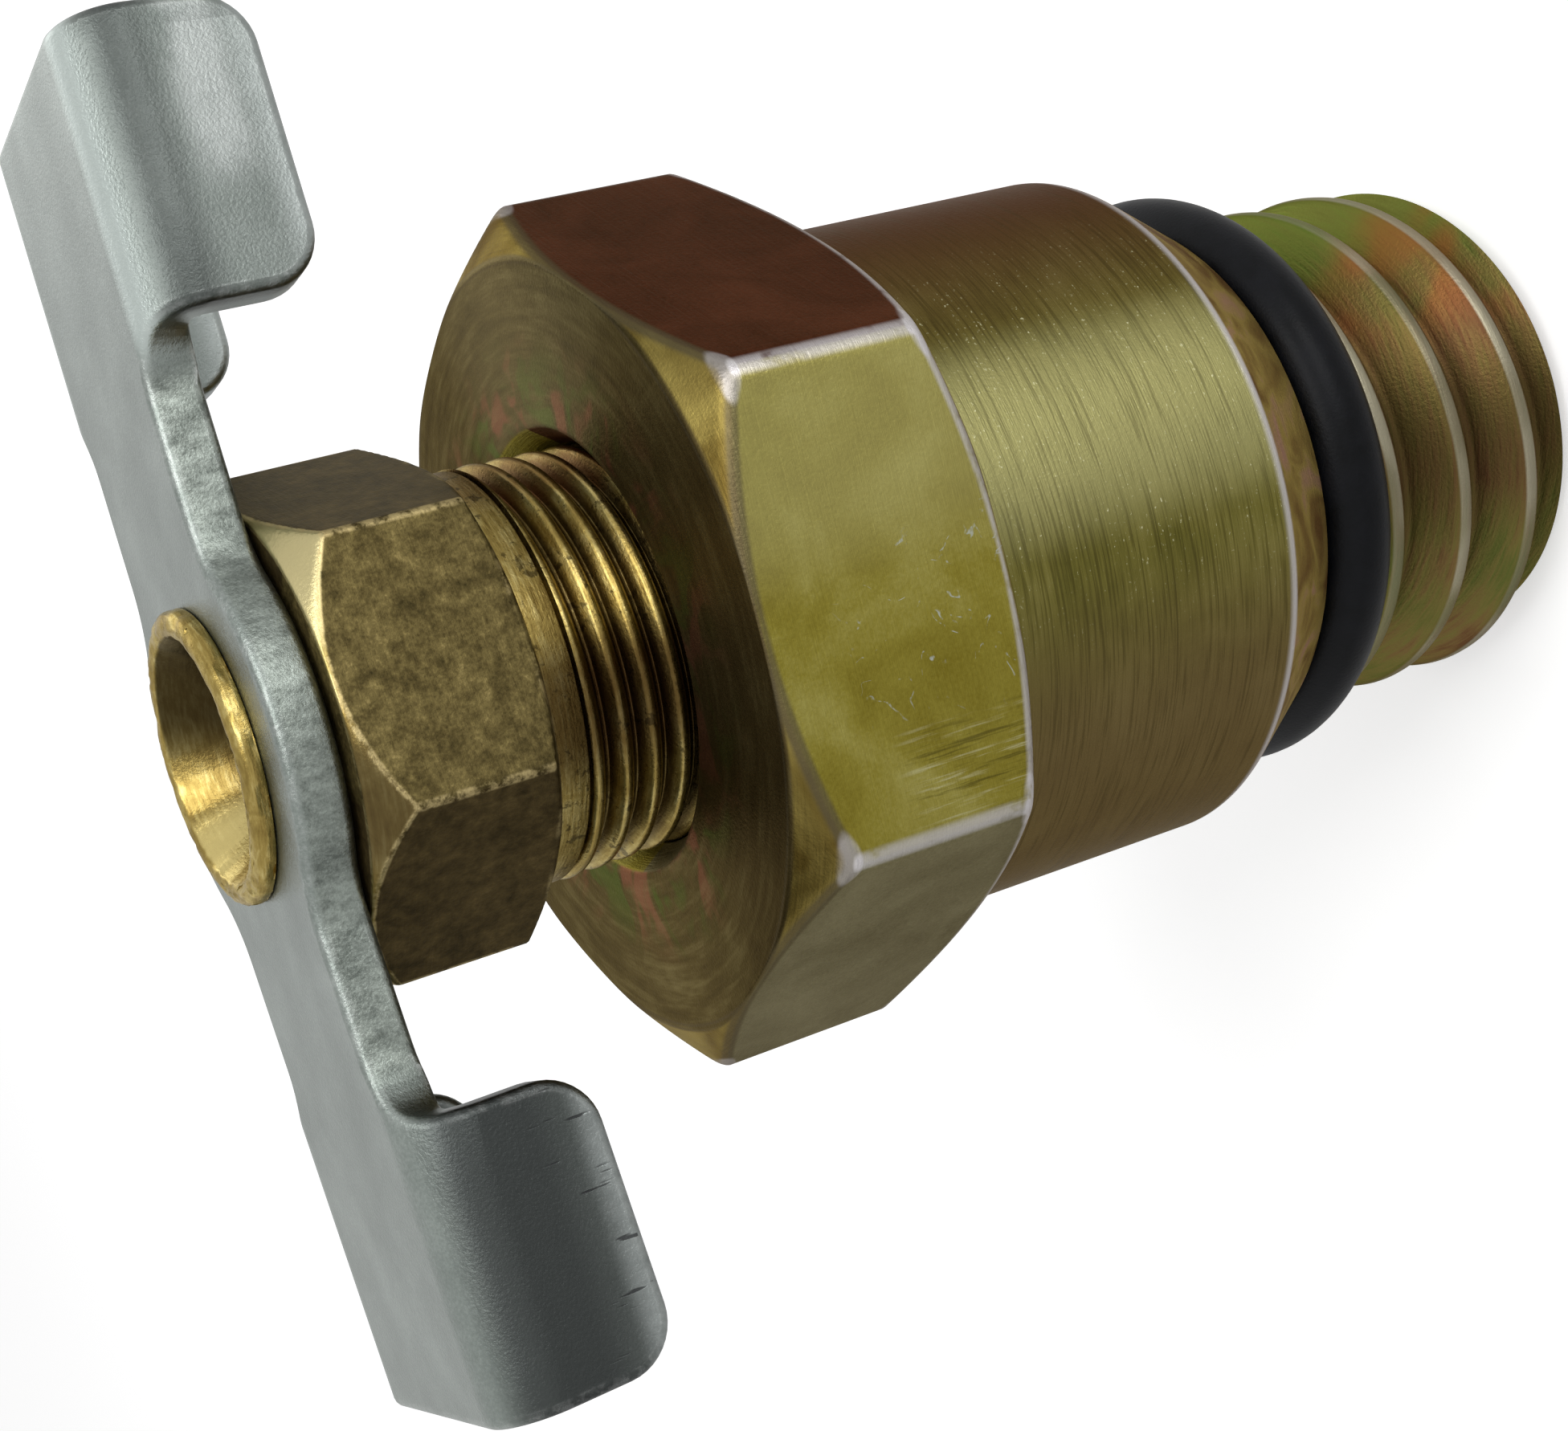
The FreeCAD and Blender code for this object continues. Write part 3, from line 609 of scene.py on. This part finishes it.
# Bright turned brass, and the brown that covers the hexagon, darker on its shaded flats.
bright = (cloud * 0.5 + turned * 0.5).ramp(
    (0.3, shade(104, 84, 40)), (0.5, shade(150, 130, 72)), (0.7, shade(200, 184, 124)))
dark = (cloud * 0.35 + mottle * 0.4 + grain * 0.25).ramp(
    (0.34, shade(48, 42, 24)), (0.46, shade(78, 68, 40)), (0.56, shade(104, 92, 56)),
    (0.68, shade(146, 130, 84)))
shut_in = (cloud * 0.5 + mottle * 0.5).ramp((0.35, shade(38, 30, 18)), (0.65, shade(80, 64, 40)))
for degrees in (30, 150, 270):
    dark = (brass.side(NUT_TURN + degrees, 29.3, 30.4) * 0.7).blend(dark, shut_in)
aged = brass.z.rise(NUT_BASE - 0.02, NUT_BASE + 0.05) * brass.z.rise(HANDLE_BACK - 0.02, HANDLE_BACK - 0.08)
chamfer = brass.radius - NUT_FLATS / 2 - (NUT_TOP - brass.z) / math.tan(NUT_CHAMFER)
aged = aged * (1 - chamfer.rise(-0.12, -0.05) * 0.85)
cut_back = brass.z.rise(NUT_BASE, NUT_BASE + 0.1) * brass.z.rise(HANDLE_BACK, HANDLE_BACK - 0.05)
# On the bright chamfers, a painted highlight on one side and painted shade on another.
bright = (cut_back * brass.side(NUT_TURN + 120, 8, 26)).blend(bright, shade(196, 184, 136))
bright = (cut_back * brass.side(NUT_TURN + 60, 8, 26) * 0.8).blend(bright, shade(70, 58, 38))
colour = aged.blend(bright, dark)
# Pale worn edges of the hexagon.
nut_corner = corner_of(NUT_FLATS)
ridge = brass.radius.rise(nut_corner - 0.08, nut_corner - 0.04)
brim = chamfer.rise(-0.14, -0.08) * chamfer.rise(-0.01, -0.04)
foot = brass.z.rise(NUT_BASE + 0.22, NUT_BASE + 0.1) * brass.radius.rise(NUT_FLATS / 2, NUT_FLATS / 2 + 0.1)
worn = (ridge + brim + foot * 0.7) * mottle.rise(0.36, 0.6) * 0.75
worn = worn * brass.z.rise(NUT_BASE, NUT_BASE + 0.05)
worn = worn * brass.z.rise(HANDLE_BACK, HANDLE_BACK - 0.05)
colour = worn.blend(colour, shade(186, 168, 120))
# The pipe thread is darker in its grooves, painted shade darkens its lower side, dirt lies in
# patches, and a red touch is on top.
on_pipe = brass.z.rise(NUT_BASE + 0.02, NUT_BASE - 0.02)
# Darker in the thread's grooves.
valley = brass.z.rise(PIPE_TOP + 0.12, PIPE_TOP) * brass.radius.rise(PIPE_RADIUS - 0.12, PIPE_RADIUS - 0.36)
colour = (valley * 0.8).blend(colour, shade(44, 28, 12))
# Painted shade on the lower side.
colour = (on_pipe * brass.side(70, 4, 24) * 0.75).blend(colour, shade(58, 38, 20))
colour = (on_pipe * brass.side(150, 4, 22) * 0.6).blend(colour, shade(84, 46, 26))
grime = (mottle * 0.6 + cloud * 0.4).rise(0.56, 0.62) * on_pipe
colour = (grime * 0.7).blend(colour, shade(36, 26, 14))
# The bore has painted shade deeper down and on one side, and a painted highlight on the other.
mouth = brass.radius.rise(FLARE_MOUTH + 0.02, FLARE_MOUTH - 0.06)
mouth = mouth * brass.z.rise(HANDLE_BACK, HANDLE_BACK + 0.1)
colour = (mouth * brass.z.rise(FLARE_TOP, HANDLE_BACK) * 0.6).blend(colour, shade(70, 52, 26))
colour = (mouth * brass.side(215, 20, 66) * 0.9).blend(colour, shade(34, 26, 14))
colour = (mouth * brass.side(318, 6, 30) * 0.7).blend(colour, shade(214, 196, 130))
colour.feed("Base Color")
(0.22 + grain * 0.14 + aged * 0.2).feed("Roughness")
brass.bump(turned * 0.5 + grain * 0.5, 0.018)
settle(cock, brass.finish, "tarnished_brass", "fitting", "cock_body")

# Brass stem: a needle that shuts the seat, a thread that lifts it, and a bore that drains
# through its upper end, which is flared over the handle and has split a little in doing so.
NEEDLE_TIP = (0.4, 20.45)
NEEDLE_TOP = (1.9, 21.95)
SHANK_RADIUS = 2.5
SHANK_FOOT = 23.2
SEAL_HEIGHT = 26.2
SEAL_WIDTH = 0.95
SEAL_FLOOR = 1.75
STEM_STEP = 28.5
STEM_ROOT = 2.62
STEM_PITCH = 0.907
STEM_CREST = 0.12
NECK_RADIUS = 3.0
NECK_FLAT = 2.7
FLARE_RADIUS = 3.5
BORE_RADIUS = 2.1
BORE_MOUTH = 35.2
BORE_END = 29.0
CHANNEL_RADIUS = 1.0
CROSS_HEIGHT = 24.1
CROSS_RADIUS = 0.7
SPLITS = ((142, 0.1, 0.7), (205, 0.12, 0.6), (22, 0.2, 0.4))
SPLIT_LENGTH = 1.2
SPLIT_DROP = 0.25

stem = turn("stem", [
    (0, NEEDLE_TIP[1]),
    (*NEEDLE_TIP, 0.05),
    (*NEEDLE_TOP, 0.05),
    (NEEDLE_TOP[0], SHANK_FOOT - 0.3),
    (SHANK_RADIUS, SHANK_FOOT),
    (SHANK_RADIUS, SEAL_HEIGHT - SEAL_WIDTH / 2, 0.05),
    (SEAL_FLOOR, SEAL_HEIGHT - SEAL_WIDTH / 2),
    (SEAL_FLOOR, SEAL_HEIGHT + SEAL_WIDTH / 2),
    (SHANK_RADIUS, SEAL_HEIGHT + SEAL_WIDTH / 2, 0.05),
    (SHANK_RADIUS, HANDLE_BACK - 1),
    (STEM_RADIUS, HANDLE_BACK - 0.4),
    (STEM_RADIUS, HANDLE_BACK),
    (NECK_RADIUS, HANDLE_BACK),
    (NECK_RADIUS, HANDLE_FRONT),
    (FLARE_RADIUS, HANDLE_FRONT, 0.08),
    (FLARE_RADIUS, FLARE_TOP - 0.1, 0.2),
    (FLARE_MOUTH + 0.2, FLARE_TOP, 0.08),
    (FLARE_MOUTH, FLARE_TOP - 0.04, 0.06),
    (BORE_RADIUS, BORE_MOUTH, 0.3),
    (BORE_RADIUS, BORE_END),
    (0, BORE_END),
], steps=120)
rod = thread_rod("shank", STEM_RADIUS, STEM_ROOT, STEM_CREST, STEM_PITCH, STEM_STEP,
                 STEM_STEP, HANDLE_BACK - 0.2)
combine(stem, rod, "UNION")
drill = turn("drill", [
    (0, CROSS_HEIGHT),
    (CHANNEL_RADIUS, CROSS_HEIGHT),
    (CHANNEL_RADIUS, BORE_END - 0.5),
    (BORE_RADIUS, BORE_END),
    (BORE_RADIUS, BORE_MOUTH - 0.4),
    (0, BORE_MOUTH - 0.4),
], steps=96)
combine(stem, drill, "DIFFERENCE")
bpy.ops.mesh.primitive_cylinder_add(
    vertices=32, radius=CROSS_RADIUS, depth=8, location=(0, 0, CROSS_HEIGHT), rotation=(math.pi / 2, 0, 0))
combine(stem, bpy.context.object, "DIFFERENCE")
# Small wedges open the flare's lip at three places, and noise makes it uneven.
for degrees, width, depth in SPLITS:
    angle = math.radians(degrees)
    reach = FLARE_RADIUS + SPLIT_LENGTH / 2 - depth
    bpy.ops.mesh.primitive_cone_add(
        vertices=4, radius1=0, radius2=width, depth=SPLIT_LENGTH, rotation=(0, 0, angle),
        location=(reach * math.cos(angle), reach * math.sin(angle), FLARE_TOP - SPLIT_DROP))
    combine(stem, bpy.context.object, "DIFFERENCE")
for vertex in stem.data.vertices:
    reach = math.hypot(vertex.co.x, vertex.co.y)
    if vertex.co.z < HANDLE_FRONT + 0.05 or reach < FLARE_MOUTH - 0.2:
        continue
    torn = 1 + 1.5 * max(vertex.co.x / reach, 0)
    ragged = noise.noise(vertex.co * 1.7) * 0.08 + noise.noise(vertex.co * 7) * 0.05 * torn
    vertex.co.x *= 1 + min(ragged, 0) / reach
    vertex.co.y *= 1 + min(ragged, 0) / reach
    vertex.co.z -= abs(ragged) * 0.8
settle(stem, brass.finish, "tarnished_brass", "stem", "valve_stem")

# Wing handle: one strip of steel, pierced for the stem and folded down at both ends into
# channels for the fingers. It is satin plated, and bright where its edges have rubbed.
HANDLE_SPAN = 31.9
WING_LENGTH = 6.9
WING_WIDTH = 9.8
WING_DEPTH = 4.3
BEND_RADIUS = 1.6
FLANGE_CORNER = 1.3
STRIP_WIDTH = 6.6
BOSS_RADIUS = 5.0
NECK_FILLET = 2.5
SHEARED_EDGE = 0.25
WING_DROOP = 0.02
TIP_CROWN = 0.15
DROOP_START = 6.0
BEND_ROWS = 14
SPAN_ROWS = 16
SPAN_SHIFT = 0.7
CREASE = 4.1


def arc(centre, radius, start, end, parts):
    """Points of an arc between two angles in degrees."""
    angles = [math.radians(start + (end - start) * part / parts) for part in range(parts + 1)]
    return [(centre[0] + radius * math.cos(a), centre[1] + radius * math.sin(a)) for a in angles]


def plate(name, corners, low, high):
    """A flat plate with this outline, from one height to another."""
    piece = draw(name, corners)
    bpy.ops.object.mode_set(mode="EDIT")
    bpy.ops.mesh.select_all(action="SELECT")
    bpy.ops.mesh.edge_face_add()
    bpy.ops.mesh.extrude_region_move(TRANSFORM_OT_translate={"value": (0, high - low, 0)})
    bpy.ops.object.mode_set(mode="OBJECT")
    for vertex in piece.data.vertices:
        across, up, along = vertex.co
        vertex.co = (across, along, up + low)
    mend_normals()
    return piece


def cut_across(place, normal):
    """Adds a row of points where a plane passes through the active piece."""
    bpy.ops.object.mode_set(mode="EDIT")
    bpy.ops.mesh.select_all(action="SELECT")
    bpy.ops.mesh.bisect(plane_co=place, plane_no=normal)
    bpy.ops.object.mode_set(mode="OBJECT")


# The flat blank: a quarter of its outline is drawn unrolled and then mirrored both ways.
half_span = HANDLE_SPAN / 2
half_width = WING_WIDTH / 2
root = half_span - WING_LENGTH
free = HANDLE_FRONT - WING_DEPTH
strip = STRIP_WIDTH / 2
bend_y = half_width - BEND_RADIUS
bend_end = bend_y + BEND_RADIUS * math.pi / 2
blank_y = bend_end + WING_DEPTH - BEND_RADIUS
reach = math.sqrt((BOSS_RADIUS + NECK_FILLET) ** 2 - (strip + NECK_FILLET) ** 2)
swing = math.degrees(math.atan2(strip + NECK_FILLET, reach))
inner_corner = arc((root - BEND_RADIUS, half_width), BEND_RADIUS, 270, 360, 10)
unrolled = [
    (x, bend_y + BEND_RADIUS * math.asin(min((y - bend_y) / BEND_RADIUS, 1)))
    for x, y in inner_corner
]
quarter = (
    arc((0, 0), BOSS_RADIUS, 90, swing, 14)
    + arc((reach, strip + NECK_FILLET), NECK_FILLET, 180 + swing, 270, 8)
    + unrolled
    + arc((root + FLANGE_CORNER, blank_y - FLANGE_CORNER), FLANGE_CORNER, 180, 90, 10)
    + arc((half_span - FLANGE_CORNER, blank_y - FLANGE_CORNER), FLANGE_CORNER, 90, 0, 10)
)
half = quarter + [(x, -y) for x, y in reversed(quarter)]
blank = half[1:-1] + [(-x, y) for x, y in reversed(half)]
handle = plate("handle", blank, HANDLE_BACK, HANDLE_FRONT)
slope = math.degrees(math.acos(NECK_FLAT / NECK_RADIUS))
hole = arc((0, 0), NECK_RADIUS + 0.03, slope - 90, 90 - slope, 16) + arc(
    (0, 0), NECK_RADIUS + 0.03, 90 + slope, 270 - slope, 16)
combine(handle, plate("hole", hole, HANDLE_BACK - 1, HANDLE_FRONT + 1), "DIFFERENCE")
# Its cut edges are softened, and rows of points are added where it will bend.
bpy.ops.object.mode_set(mode="EDIT")
bpy.ops.mesh.select_mode(type="EDGE")
bpy.ops.mesh.select_all(action="DESELECT")
sheet = bmesh.from_edit_mesh(handle.data)
for edge in sheet.edges:
    at_rim = math.hypot(*edge.verts[0].co.xy) > NECK_RADIUS + 0.1
    edge.select_set(at_rim and edge.is_manifold and edge.calc_face_angle() > math.radians(70))
bmesh.update_edit_mesh(handle.data)
bpy.ops.mesh.bevel(offset=SHEARED_EDGE, segments=4)
bpy.ops.mesh.select_mode(type="VERT")
bpy.ops.object.mode_set(mode="OBJECT")
for part in range(BEND_ROWS + 1):
    place = bend_y + BEND_RADIUS * math.pi / 2 * part / BEND_ROWS
    cut_across((0, place, 0), (0, 1, 0))
    cut_across((0, -place, 0), (0, 1, 0))
for part in range(SPAN_ROWS):
    cut_across((half_span * (2 * part / SPAN_ROWS - 1) + SPAN_SHIFT, 0, 0), (1, 0, 0))
# Past the bend lines the sheet is rolled down, and the wings droop and crown a little.
for vertex in handle.data.vertices:
    x, y, z = vertex.co
    x -= math.copysign(TIP_CROWN * (y / blank_y) ** 2 * max(abs(x) - root, 0) / WING_LENGTH, x)
    inside = BEND_RADIUS - (HANDLE_FRONT - z)
    turn_in = min(max(abs(y) - bend_y, 0) / BEND_RADIUS, math.pi / 2)
    if abs(x) > BOSS_RADIUS + 0.5 and turn_in > 0:
        z = HANDLE_FRONT - BEND_RADIUS + inside * math.cos(turn_in) - max(abs(y) - bend_end, 0)
        y = math.copysign(bend_y + inside * math.sin(turn_in), y)
    z -= WING_DROOP * (math.hypot(x, DROOP_START) - DROOP_START)
    vertex.co = (x, y, z)

satin = Surface("satin_steel", metallic=1.0, roughness=0.34)
grain = satin.spots(0.08, 3, 0.7)
cloud = satin.spots(2.4, 4, 0.6)
colour = (cloud * 0.5 + grain * 0.5).ramp(
    (0.3, shade(104, 111, 106)), (0.5, shade(122, 129, 124)), (0.7, shade(143, 150, 145)))
# The flanges get painted shade, most of all on the lower wing, and the upper bend a painted highlight.
flank = satin.z.rise(HANDLE_BACK + 0.1, HANDLE_BACK - 0.7)
away = (satin.y * satin.y) ** 0.5
lower = satin.x.rise(-2, 2)
on_wing = (satin.x * satin.x).rise(6.5 ** 2, 8.5 ** 2)
bend = away.rise(bend_y, bend_y + 0.5) * away.rise(bend_y + 1.3, bend_y + 0.8) * on_wing
# A painted highlight on the upper bend.
colour = (bend * (0.75 - lower * 0.7)).blend(colour, shade(184, 193, 189))
shadow = away.rise(bend_y + 0.8 - lower * 0.1, bend_y + 1.45) * on_wing
shadow = shadow * satin.z.rise(HANDLE_BACK - 1.2 - lower * 1.6, HANDLE_BACK - 0.1 - lower * 1.2)
# Painted shade on the flanges, and a band of painted shadow along each.
colour = ((1 - lower) * flank * 0.35).blend(colour, shade(88, 92, 90))
colour = (lower * flank * 0.75).blend(colour, shade(66, 69, 68))
colour = (shadow * (0.75 + lower * 0.2)).blend(colour, shade(62, 65, 64))
rim = satin.z.rise(free + 0.8, free) * on_wing
colour = (rim * (0.15 + satin.spots(0.8, 3, 0.6) * 0.6)).blend(colour, shade(184, 190, 188))
burnished = satin.x.rise(-11, -12.5) * satin.z.rise(34.2, 33.4) * satin.z.rise(free + 0.3, free + 1)
colour = (burnished * cloud.rise(0.3, 0.55) * 0.5).blend(colour, shade(176, 180, 178))
# The sheared wall of the strip and boss is rough, and its edges are rubbed bright.
wall = satin.z.rise(HANDLE_FRONT - 0.12, HANDLE_FRONT - 0.3) * (satin.x * satin.x).rise(8.4 ** 2, 7.6 ** 2)
torn = satin.spots(0.4, 4, 0.7, vector=satin.stretched(1, 1, 0.5))
wall_colour = (torn * 0.7 + grain * 0.3).ramp((0.36, shade(92, 98, 92)), (0.64, shade(160, 168, 160)))
colour = (wall * 0.85).blend(colour, wall_colour)
sheared = satin.edges(0.3) * satin.spots(0.4, 3, 0.7).rise(0.4, 0.6)
colour = (sheared * 0.7).blend(colour, shade(224, 226, 224))
# A scored line along the sheet, and short dark scratches near a free edge.
wander = (satin.spots(1.5, 3, 0.7) - 0.5) * 0.12
off_line = ((satin.y + CREASE + wander) ** 2) ** 0.5
crease = off_line.rise(0.12, 0.06) * (satin.x * satin.x).rise(6.8 ** 2, 8 ** 2) * satin.z.rise(35, 35.3)
gritty = crease * satin.spots(0.3, 3, 0.7).rise(0.3, 0.5)
colour = gritty.blend(colour, shade(66, 62, 46))
nick = satin.spots(0.2, 2, 0.5, vector=satin.stretched(1, 1, 0.12)).rise(0.66, 0.72)
nick = nick * flank * satin.x.rise(8, 9) * satin.z.rise(free + 2, free + 1.2)
colour = (nick * 0.8).blend(colour, shade(48, 48, 50))
colour.feed("Base Color")
(0.27 + grain * 0.16).feed("Roughness")
satin.bump(grain * 0.5 + cloud * 0.3 - crease * 0.5 - nick * 0.4, 0.03)
settle(handle, satin.finish, "handle_steel", "stem", "wing_handle")

# Table, lamps and camera: a plain white table, soft lamps, and the photo's close view.
TABLE = shade(244, 244, 244)
TABLE_GLOW = 0.5
TABLE_SIZE = 1.2
STUDIO_DIM = 0.45
CAMERA_PLACE = (5.22, 56.92, 50.88)
CAMERA_TURN = (-32.477, 59.850, 52.037)
CAMERA_LENS = 58.255
CAMERA_SHIFT = (0.04035, 0.03228)

bpy.ops.mesh.primitive_plane_add(size=TABLE_SIZE)
table = bpy.context.object
table.name = "table"
cloth = bpy.data.materials.new("table")
cloth.use_nodes = True
paint = cloth.node_tree.nodes["Principled BSDF"]
paint.inputs["Base Color"].default_value = TABLE
paint.inputs["Roughness"].default_value = 0.9
paint.inputs["Emission Color"].default_value = (1, 1, 1, 1)
glow = Wire(cloth.node_tree)
(glow.node("LightPath", output="Is Camera Ray") * TABLE_GLOW).feed("Emission Strength")
table.data.materials.append(cloth)


def lamp(name, place, size, watts, aim=(0, 0, 18)):
    """A soft square lamp at a place in millimetres that shines at a point on the part."""
    bpy.ops.object.light_add(type="AREA", location=[part / 1000 for part in place])
    made = bpy.context.object
    made.name = name
    made.data.size = size / 1000
    made.data.energy = watts
    towards = Vector(aim) - Vector(place)
    made.rotation_euler = towards.to_track_quat("-Z", "Y").to_euler()
    return made


lamp("key", (-60, 110, 190), 120, 0.2)
lamp("fill", (-90, 190, 30), 90, 0.12)
lamp("back", (-150, -200, 140), 120, 0.07)

world = bpy.data.worlds.new("studio")
world.use_nodes = True
bpy.context.scene.world = world
light = Wire(world.node_tree)
seen = light.node("LightPath", output="Is Camera Ray") + light.node("LightPath", output="Is Glossy Ray")
background = world.node_tree.nodes["Background"]
background.inputs["Color"].default_value = (1, 1, 1, 1)
strength = STUDIO_DIM + seen * (1 - STUDIO_DIM)
world.node_tree.links.new(strength.socket, background.inputs["Strength"])

bpy.ops.object.camera_add(
    location=[part / 1000 for part in CAMERA_PLACE],
    rotation=[math.radians(part) for part in CAMERA_TURN])
camera = bpy.context.object
camera.data.lens = CAMERA_LENS
camera.data.sensor_width = 36
camera.data.shift_x, camera.data.shift_y = CAMERA_SHIFT
camera.data.clip_start = 0.001
bpy.context.scene.camera = camera
bpy.context.scene.view_settings.view_transform = "Standard"
